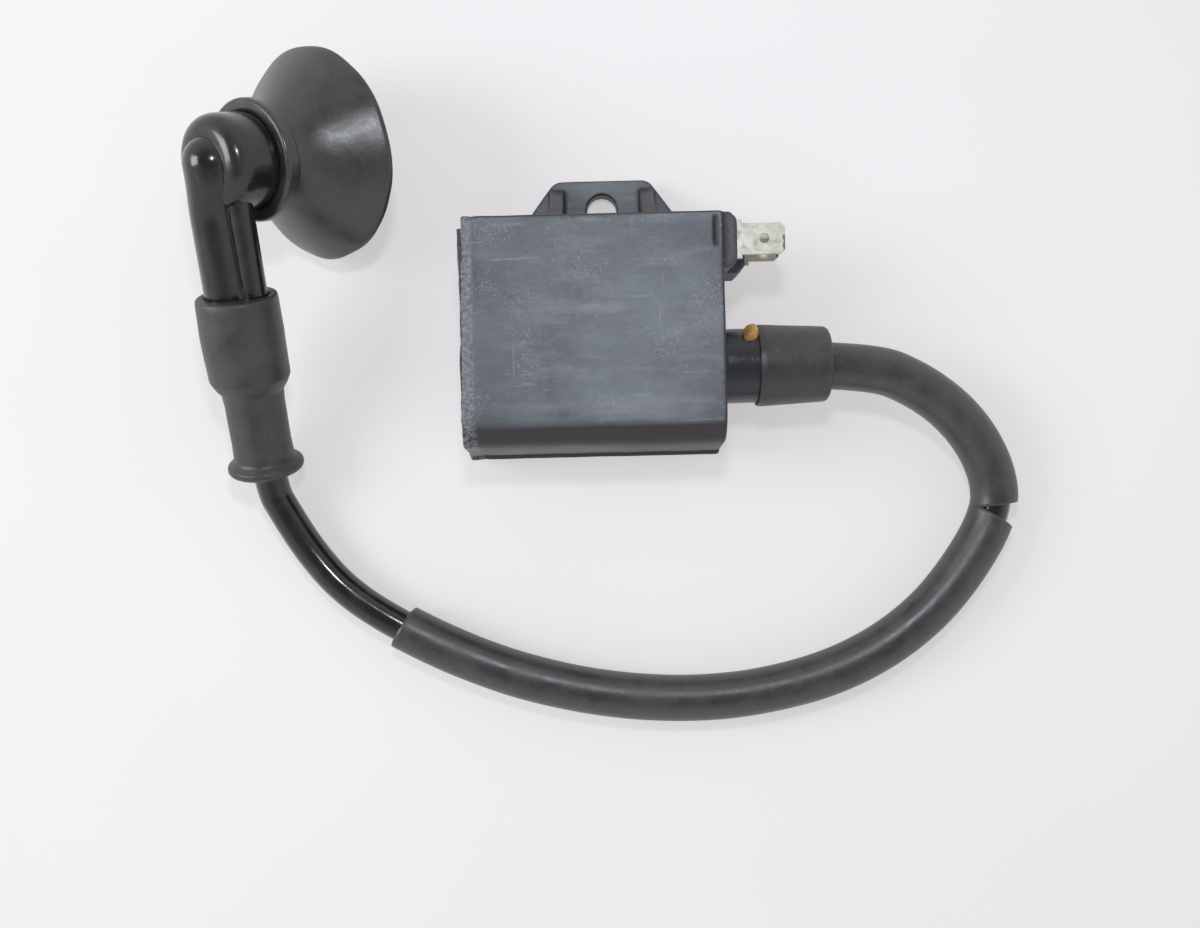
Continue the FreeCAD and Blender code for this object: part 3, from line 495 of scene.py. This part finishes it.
def dress(piece, body, slot, cad):
    """Rides a piece on its body, gives it its finish, and hides the CAD nodes it stands for."""
    piece.data.materials.clear()
    piece.data.materials.append(MATERIALS[slot])
    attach(piece, body)
    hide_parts(*cad)
    return piece


def paint_cad_nodes():
    """Every carried-over CAD node takes the material of its record slot."""
    for row in frame["record"]["subparts"]:
        node = frame["nodes"][row["node"]]
        node.data.materials.clear()
        node.data.materials.append(MATERIALS[row["material_slot"]])


# ------------------------------------------------------------------ mesh helpers

def ramp(value):
    """Value held between 0 and 1."""
    return min(1.0, max(0.0, value))


def object_from(name, bm, smooth=True):
    """A piece made from a bmesh."""
    bmesh.ops.recalc_face_normals(bm, faces=bm.faces)
    mesh = bpy.data.meshes.new(name)
    bm.to_mesh(mesh)
    bm.free()
    for face in mesh.polygons:
        face.use_smooth = smooth
    return link(bpy.data.objects.new(name, mesh))


def rounded(corners, radii, steps=5):
    """A closed outline with each corner cut to an arc of its own radius."""
    out = []
    count = len(corners)
    for k in range(count):
        before, here, after = (Vector(corners[(k + j) % count]) for j in (-1, 0, 1))
        back, forward = before - here, after - here
        turn = back.angle(forward)
        radius = radii[k] if isinstance(radii, (list, tuple)) else radii
        reach = min(radius / math.tan(turn / 2), 0.45 * back.length, 0.45 * forward.length)
        if reach < 1e-7:
            out.append(here)
            continue
        start = here + back.normalized() * reach
        end = here + forward.normalized() * reach
        for j in range(steps + 1):
            share = j / steps
            out.append(start.lerp(here, share).lerp(here.lerp(end, share), share))
    return out


def dense(outline, step):
    """A closed outline with points added on its long sides."""
    out = []
    for a, b in zip(outline, outline[1:] + outline[:1]):
        count = max(1, math.ceil((b - a).length / step))
        out += [a.lerp(b, k / count) for k in range(count)]
    return out


def axes_from(forward, towards):
    """Unit X, Y and Z vectors with Z along forward and X leaning towards a vector."""
    z = forward.normalized()
    x = (towards - z * towards.dot(z)).normalized()
    return x, z.cross(x), z


def ring_place(base, axes, radius, angle, height):
    """A point at a radius and an angle round an axis, some height along it from base."""
    x, y, z = axes
    return base + x * (radius * math.cos(angle)) + y * (radius * math.sin(angle)) + z * height


def lathe(name, outline, base, axes, segments=128, shape=None):
    """A closed ring surface: outline points are (radius, height); shape may move a point by angle."""
    bm = bmesh.new()
    rings = []
    for k in range(segments):
        angle = 2 * math.pi * k / segments
        ring = []
        for radius, height in outline:
            r, h = shape(radius, height, angle) if shape else (radius, height)
            ring.append(bm.verts.new(ring_place(base, axes, r, angle, h)))
        rings.append(ring)
    for a, b in zip(rings, rings[1:] + rings[:1]):
        for k in range(len(outline)):
            j = (k + 1) % len(outline)
            bm.faces.new((a[k], b[k], b[j], a[j]))
    bmesh.ops.remove_doubles(bm, verts=bm.verts, dist=1e-7)
    return object_from(name, bm)


def path_frames(points):
    """Tangent and two side vectors at each point of a line, turned as little as possible."""
    tangents = []
    for k in range(len(points)):
        a = points[max(k - 1, 0)]
        b = points[min(k + 1, len(points) - 1)]
        tangents.append((b - a).normalized())
    side = Vector((0, 0, 1)).cross(tangents[0]).normalized()
    frames = []
    for tangent in tangents:
        side = (side - tangent * side.dot(tangent)).normalized()
        frames.append((tangent, side, tangent.cross(side)))
    return frames


# ------------------------------------------------------------------ lead and sleeves

def make_lead():
    lead = route_curve("lead", LEAD_RADIUS)
    return dress(lead, "coil", "lead_jacket", cad=["lead_insulation"])


def make_sleeve(name, start, end, cuts, seed, cad):
    """A loose rubber sleeve on the lead, slightly out of round; cuts give each end's tilt and turn."""
    points = stretch_of(LEAD_LINE, start, end)
    frames = path_frames(points)
    segments = 56
    cut_rings = 5         # how many rings from each end its cut leans
    bm = bmesh.new()
    last = len(points) - 1
    lip = 0.35 * MM

    def cut_lean(at_start, angle):
        tilt, phase = cuts[0 if at_start else 1]
        rough = noise.noise(Vector((math.cos(angle) * 2, math.sin(angle) * 2,
                                    seed * 3 + (-1 if at_start else 1))))
        return tilt * math.cos(angle - phase) + 0.25 * MM * rough

    def ring(k, radius, pull=0.0):
        tangent, side, over = frames[k]
        near = max(0.0, 1 - min(k, last - k) / cut_rings)
        made = []
        for j in range(segments):
            angle = 2 * math.pi * j / segments
            out = side * math.cos(angle) + over * math.sin(angle)
            wave = noise.noise(points[k] * 90 + out * 0.5 + Vector((seed, 0, 0)))
            size = radius * (1 + 0.012 * wave)
            lean = cut_lean(k <= last / 2, angle) * near
            made.append(bm.verts.new(points[k] + out * size + tangent * (pull + lean)))
        return made

    loops = [ring(k, SLEEVE_RADIUS) for k in range(last + 1)]
    loops.append(ring(last, SLEEVE_RADIUS - lip, 0.12 * MM))
    loops += [ring(k, SLEEVE_BORE) for k in range(last, -1, -1)]
    loops.append(ring(0, SLEEVE_RADIUS - lip, -0.12 * MM))
    for a, b in zip(loops, loops[1:] + loops[:1]):
        for j in range(segments):
            i = (j + 1) % segments
            bm.faces.new((a[j], a[i], b[i], b[j]))
    return dress(object_from(name, bm), "coil", "sleeve_rubber", cad=cad)


def make_tower_boot():
    """The rubber boot over the tower: a straight taper with a soft end and a rolled lip."""
    low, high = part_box("tower_boot")
    start, end = low.x, high.x
    axis_point = Vector((0, (low.y + high.y) / 2, (low.z + high.z) / 2))
    lip = (high.y - low.y) / 2
    corners = [(7.83 * MM, start), (lip - 0.1 * MM, start), (lip, start + 1.2 * MM), (7.8 * MM, end),
               (4.97 * MM, end), (4.97 * MM, start + 9.8 * MM), (7.83 * MM, start + 9.8 * MM)]
    outline = rounded(corners, [0.3 * MM, 0.5 * MM, 0.6 * MM, 2.8 * MM, 0.5 * MM, 0, 0], 7)

    def shape(radius, height, angle):
        wave = noise.noise(Vector((math.cos(angle) * 1.3, math.sin(angle) * 1.3, height * 120)))
        return radius + 0.10 * MM * wave * (radius > 7.6 * MM), height

    boot = lathe("tower_boot_rubber", dense(outline, 0.8 * MM), axis_point,
                 axes_from(Vector((1, 0, 0)), Vector((0, 0, 1))), shape=shape)
    return dress(boot, "coil", "boot_rubber", cad=["tower_boot"])


# ------------------------------------------------------------------ plug cap

ARM_AXES = axes_from(ARM, BARREL)
BARREL_AXES = axes_from(BARREL, ARM)
ARM_RADIUS = 5.5 * MM
ARM_LONG = 44 * MM
ARM_BORE = 3.55 * MM
ARM_SWELL = 0.5 * MM
# the main rib: its turn round the arm in degrees, how much slimmer and how far off centre it gets
MAIN_RIB = (242.0, 1.15 * MM, 1.6 * MM)
# turn, start, radius and offset of each small rib
SMALL_RIBS = [(0.0, 9.5 * MM, 2.5 * MM, 4.2 * MM), (-62.0, 9.5 * MM, 2.5 * MM, 4.1 * MM),
              (62.0, 7.5 * MM, 2.7 * MM, 3.9 * MM)]


def arm_reach(angle, along):
    """The arm's radius at an angle: the farthest of its main rib and its three small ones."""
    share = ramp((along - 1.5 * MM) / (9 * MM))
    share = share * share * (3 - 2 * share)
    swell = ARM_SWELL * max(0.0, along) / ARM_LONG
    turn, slimmer, aside = MAIN_RIB
    ribs = [(turn, ARM_RADIUS - slimmer * share + swell, aside * share)]
    for turn, start, size, offset in SMALL_RIBS:
        if along < start:
            size = math.sqrt(max(0.0, size ** 2 - (start - along) ** 2))
        ribs.append((turn, size, offset))
    best = 0.0
    for turn, size, offset in ribs:
        off = angle - math.radians(turn)
        inside = size ** 2 - (offset * math.sin(off)) ** 2
        if size > 0 and inside > 0:
            best = max(best, offset * math.cos(off) + math.sqrt(inside))
    return best


def make_arm():
    """The cap's arm: a dome that runs into a bundle of four round ribs, bored for the lead."""
    segments, dome_rings, long_rings = 200, 14, 110
    angles = [2 * math.pi * k / segments for k in range(segments)]
    bm = bmesh.new()
    turns = [math.pi / 2 * k / dome_rings for k in range(dome_rings - 1, -1, -1)]
    stations = [(math.cos(turn), -ARM_RADIUS * math.sin(turn)) for turn in turns]
    stations += [(1.0, ARM_LONG * k / long_rings) for k in range(1, long_rings + 1)]
    rings = [[bm.verts.new(ring_place(ELBOW, ARM_AXES, scale * arm_reach(angle, along), angle, along))
              for angle in angles] for scale, along in stations]
    tip = bm.verts.new(ELBOW - ARM_AXES[2] * ARM_RADIUS)
    for k in range(segments):
        bm.faces.new((tip, rings[0][(k + 1) % segments], rings[0][k]))
    for depth in (0.0, 1.0 * MM, 20.0 * MM):
        rings.append([bm.verts.new(ring_place(ELBOW, ARM_AXES, ARM_BORE, angle, ARM_LONG - depth))
                      for angle in angles])
    for a, b in zip(rings, rings[1:]):
        for k in range(segments):
            j = (k + 1) % segments
            bm.faces.new((a[k], a[j], b[j], b[k]))
    bm.faces.new(rings[-1])
    return dress(object_from("cap_arm", bm), "plug_cap", "cap_phenolic", cad=["cap_body"])


def make_barrel():
    """The cap's barrel: a round-shouldered cup that opens towards the plug, stepped inside."""
    back, end, radius = -1.8 * MM, 20.0 * MM, 9.4 * MM
    corners = [(0.0, back), (radius, back), (radius, end), (6.0 * MM, end), (6.0 * MM, 11 * MM),
               (3.95 * MM, 11 * MM), (3.95 * MM, 3 * MM), (0.0, 3 * MM)]
    outline = rounded(corners, [0, 5.4 * MM, 0.7 * MM, 0.5 * MM, 0.3 * MM, 0.3 * MM, 0.3 * MM, 0], 10)
    barrel = lathe("cap_barrel", dense(outline, 0.9 * MM), ELBOW, BARREL_AXES, 160)
    return dress(barrel, "plug_cap", "cap_phenolic", cad=["cap_body"])


def curve_through(poles, count=26):
    """Points along a cubic curve given by four poles in millimetres."""
    a, b, c, d = (Vector(pole) * MM for pole in poles)
    out = []
    for k in range(count + 1):
        t = k / count
        u = 1 - t
        out.append(a * u ** 3 + b * 3 * u * u * t + c * 3 * u * t * t + d * t ** 3)
    return out


def make_shroud():
    """The flared rubber shroud with its collar and thin uneven rim."""
    # each point is a radius and a height along the barrel in millimetres
    outer = curve_through([(11.0, 11.6), (11.6, 17.2), (17.6, 21.2), (21.65, 26.3)])
    inner = curve_through([(20.9, 26.65), (16.4, 22.6), (11.6, 19.6), (10.0, 15.8)])
    collar = rounded([(r * MM, h * MM) for r, h in (
        (9.45, 8.3), (11.95, 8.3), (11.95, 11.3), (11.0, 11.6))], [0, 0.9 * MM, 0.9 * MM, 0], 6)
    rim = [Vector((21.6, 26.6)) * MM, Vector((21.3, 26.75)) * MM]
    outline = collar[:-1] + outer + rim + inner + [Vector((9.45, 15.0)) * MM]

    def shape(radius, height, angle):
        flare = max(0.0, (radius - 12 * MM) / (9.65 * MM))
        facets = 0.12 * MM * math.cos(9 * angle + 0.7)
        wave = noise.noise(Vector((math.cos(angle) * 1.1, math.sin(angle) * 1.1, 3.0)))
        ripple = noise.noise(Vector((math.cos(angle) * 4, math.sin(angle) * 4, height * 200)))
        return (radius + flare ** 2 * (facets + 0.12 * MM * ripple) - flare ** 2 * 0.1 * MM,
                height + flare ** 2 * 0.45 * MM * wave)

    shroud = lathe("shroud_rubber", dense(outline, 0.9 * MM), ELBOW, BARREL_AXES, 200, shape)
    return dress(shroud, "shroud", "shroud_rubber", cad=["shroud"])


def make_seal():
    """The rubber boot from the arm's mouth down over the lead, with a rolled foot."""
    # radius, height and rounding of each corner in millimetres
    corners = [(6.75, 26.0, 0.3), (8.0, 26.0, 0.6), (8.15, 27.2, 0.8), (8.35, 34.0, 4.0),
               (8.2, 43.2, 1.5), (7.4, 44.8, 1.4), (6.35, 46.3, 1.2), (6.1, 49.0, 1.6),
               (6.1, 57.5, 2.0), (6.35, 61.4, 1.6), (7.9, 62.6, 0.7), (8.0, 63.5, 0.6),
               (7.5, 64.2, 0.6), (4.2, 64.3, 0.5), (3.6, 63.6, 0.3), (3.6, 44.2, 0), (6.75, 44.2, 0)]
    places = [(radius * MM, height * MM) for radius, height, _ in corners]
    outline = rounded(places, [rounding * MM for _, _, rounding in corners], 6)

    def shape(radius, height, angle):
        wave = noise.noise(Vector((math.cos(angle) * 1.2, math.sin(angle) * 1.2, height * 70)))
        if 6.3 * MM < radius < 7.2 * MM and height < 40 * MM:
            return min(radius, arm_reach(angle, height) + 0.06 * MM), height
        return radius + 0.16 * MM * wave * (radius > 5 * MM), height

    seal = lathe("seal_rubber", dense(outline, 0.8 * MM), ELBOW, ARM_AXES, 128, shape)
    return dress(seal, "plug_cap", "boot_rubber", cad=["lead_seal"])


# ------------------------------------------------------------------ case, resin, blades, glue

def remeshed(name, node, voxel, smooth_steps=0):
    """An even copy of a CAD node's mesh; the remesher needs the copy enlarged while it works."""
    enlarge = 100
    mesh = frame["nodes"][node].data.copy()
    mesh.transform(Matrix.Scale(enlarge, 4))
    piece = link(bpy.data.objects.new(name, mesh))
    remesh = piece.modifiers.new("remesh", "REMESH")
    remesh.mode = "VOXEL"
    remesh.voxel_size = voxel * enlarge
    if smooth_steps:
        smooth = piece.modifiers.new("smooth", "SMOOTH")
        smooth.factor = 0.5
        smooth.iterations = smooth_steps
    mesh = evaluated_mesh(piece)
    mesh.transform(Matrix.Scale(1 / enlarge, 4))
    piece.modifiers.clear()
    piece.data = mesh
    return piece


def make_case():
    """The moulded case: soft edges, a worn open end that leans, and a split line low on its front."""
    case = remeshed("case_moulding", "coil_case", 0.36 * MM, 3)
    mesh = case.data
    open_end, front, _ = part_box("coil_case")[0]
    inner_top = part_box("potting_resin")[1].z
    moved = []
    for vertex in mesh.vertices:
        place = vertex.co
        near_end = ramp(1 - (place.x - open_end) / (2.6 * MM))
        push = 0.05 * MM * noise.noise(place * 180)
        push += near_end * 0.32 * MM * noise.noise(place * 300 + Vector((7, 3, 1)))
        groove = math.exp(-((place.x - open_end - 2.5 * MM) / (0.35 * MM)) ** 2)
        push -= 0.16 * MM * groove
        new = place + vertex.normal * push
        lean = 0.5 * MM - 1.1 * MM * (place.y / front)
        new.x += near_end * lean
        if place.z > inner_top - 2 * MM:
            across = math.exp(-((place.x - SLOT_X) / (0.45 * MM)) ** 2)
            beside = max(0.0, 1 - (abs(place.y - SLOT_Y) / (3.6 * MM)) ** 4)
            new.z -= 0.7 * MM * across * beside
        if place.y < front + 2.2 * MM:
            ragged = SPLIT_HIGH + 0.25 * MM * noise.noise(place * 400)
            below = ramp((ragged - place.z) / (0.5 * MM))
            new.y -= 0.75 * MM * below * ramp(-vertex.normal.y * 1.5)
            split = math.exp(-((place.z - ragged) / (0.4 * MM)) ** 2)
            new.y += 0.35 * MM * split
        new.z = max(new.z, 0.01 * MM)     # the worn foot stays above the table
        moved.extend(new)
    mesh.vertices.foreach_set("co", moved)
    mesh.update()
    for face in mesh.polygons:
        face.use_smooth = True
    return dress(case, "coil", "case", cad=["coil_case"])


def make_resin():
    """The potting's rough face at the case's open end."""
    resin = remeshed("resin_fill", "potting_resin", 0.5 * MM)
    mesh = resin.data
    open_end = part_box("coil_case")[0].x
    for vertex in mesh.vertices:
        place = vertex.co
        if place.x < open_end + 0.2 * MM:
            lump = noise.noise(place * 150) + 0.5 * noise.noise(place * 420)
            vertex.co.x += 0.35 * MM * lump
    for face in mesh.polygons:
        face.use_smooth = True
    return dress(resin, "coil", "resin", cad=["potting_resin"])


def make_blade(node):
    """A stamped blade terminal with broken edges and a detent hole."""
    source = frame["nodes"][node]
    blade = link(bpy.data.objects.new(node + "_blade", source.data.copy()))
    weld = blade.modifiers.new("weld", "WELD")
    weld.merge_threshold = 0.001 * MM
    flat = blade.modifiers.new("flat", "DECIMATE")
    flat.decimate_type = "DISSOLVE"
    flat.angle_limit = math.radians(3)
    bevel = blade.modifiers.new("bevel", "BEVEL")
    bevel.width = 0.12 * MM
    bevel.segments = 3
    bevel.limit_method = "ANGLE"
    bevel.angle_limit = math.radians(35)
    bevel.harden_normals = True
    return dress(blade, "coil", "tinned_blade", cad=[node])


def make_glue():
    """The lumpy bead of amber glue where the boot meets the tower."""
    low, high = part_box("glue_bead")
    centre = (low + high) / 2
    bm = bmesh.new()
    bmesh.ops.create_icosphere(bm, subdivisions=4, radius=1.0)
    for vertex in bm.verts:
        lump = 1 + 0.18 * noise.noise(vertex.co * 1.3)
        vertex.co = Vector((vertex.co.x * 1.7, vertex.co.y * 2.0, vertex.co.z * 1.5)) * MM * lump
        vertex.co += centre
    return dress(object_from("glue_blob", bm), "coil", "glue", cad=["glue_bead"])


# ------------------------------------------------------------------ floor and light

def make_floor():
    """A sheet of white paper; a little glow keeps its shadows light."""
    bm = bmesh.new()
    bmesh.ops.create_grid(bm, x_segments=1, y_segments=1, size=3.0)
    floor = object_from("floor", bm, smooth=False)
    paint = Paint("paper_floor", (0.47, 0.46, 0.48), 0.8, specular=0.1)
    tone = paint.between(paint.noise(90 * MM, 2.0, 0.5), 0.3, 0.7)
    paint.set_color(paint.color_mix(tone, (0.46, 0.455, 0.48), (0.48, 0.475, 0.50)))
    paint.shader.inputs["Emission Color"].default_value = (1.0, 0.965, 0.955, 1)
    paint.shader.inputs["Emission Strength"].default_value = 0.44
    floor.data.materials.append(paint.material)
    floor.location.z = -0.03 * MM


def make_lamp(name, place, target, size, power, color):
    data = bpy.data.lights.new(name, "AREA")
    data.shape = "RECTANGLE"
    data.size, data.size_y = size
    data.energy = power
    data.color = color
    lamp = link(bpy.data.objects.new(name, data))
    lamp.location = place
    lamp.rotation_euler = (Vector(target) - Vector(place)).to_track_quat("-Z", "Y").to_euler()


def make_light():
    """A small lamp beside the lens, a window from the left and a pale room with a dim ceiling."""
    world = bpy.data.worlds.new("room")
    world.use_nodes = True
    tree = world.node_tree
    background = tree.nodes["Background"]
    background.inputs["Color"].default_value = (0.985, 0.98, 1.0, 1)
    way = tree.nodes.new("ShaderNodeTexCoord")
    height = tree.nodes.new("ShaderNodeSeparateXYZ")
    fade = tree.nodes.new("ShaderNodeMapRange")
    for key, number in zip(RANGE_SOCKETS, (0.55, 0.92, 0.86, 0.24)):
        fade.inputs[key].default_value = number
    tree.links.new(way.outputs["Generated"], height.inputs[0])
    tree.links.new(height.outputs["Z"], fade.inputs["Value"])
    tree.links.new(fade.outputs["Result"], background.inputs["Strength"])
    bpy.context.scene.world = world
    middle = (0.0, -0.05, 0.0)
    make_lamp("lens_lamp", (0.0, 0.031, 0.262), middle, (0.024, 0.024), 0.17, (0.90, 0.95, 1.0))
    make_lamp("window", (-0.52, 0.02, 0.38), middle, (0.28, 0.28), 1.7, (1.0, 0.995, 0.98))
    bpy.context.scene.view_settings.view_transform = "Standard"


# ------------------------------------------------------------------ build

paint_cad_nodes()
lead = make_lead()
upper = make_sleeve("upper_sleeve_rubber", 11.0 * MM, 69.1 * MM,
                    [(0.0, 0.0), (-1.1 * MM, 0.3)], 1.0, ["upper_sleeve"])
lower = make_sleeve("lower_sleeve_rubber", 71.7 * MM, 218.0 * MM,
                    [(1.3 * MM, 0.0), (0.5 * MM, 1.0)], 2.0, ["lower_sleeve"])
boot = make_tower_boot()
arm = make_arm()
barrel = make_barrel()
shroud = make_shroud()
seal = make_seal()
make_case()
make_resin()
make_blade("upper_terminal")
make_blade("lower_terminal")
make_glue()
make_floor()
make_light()
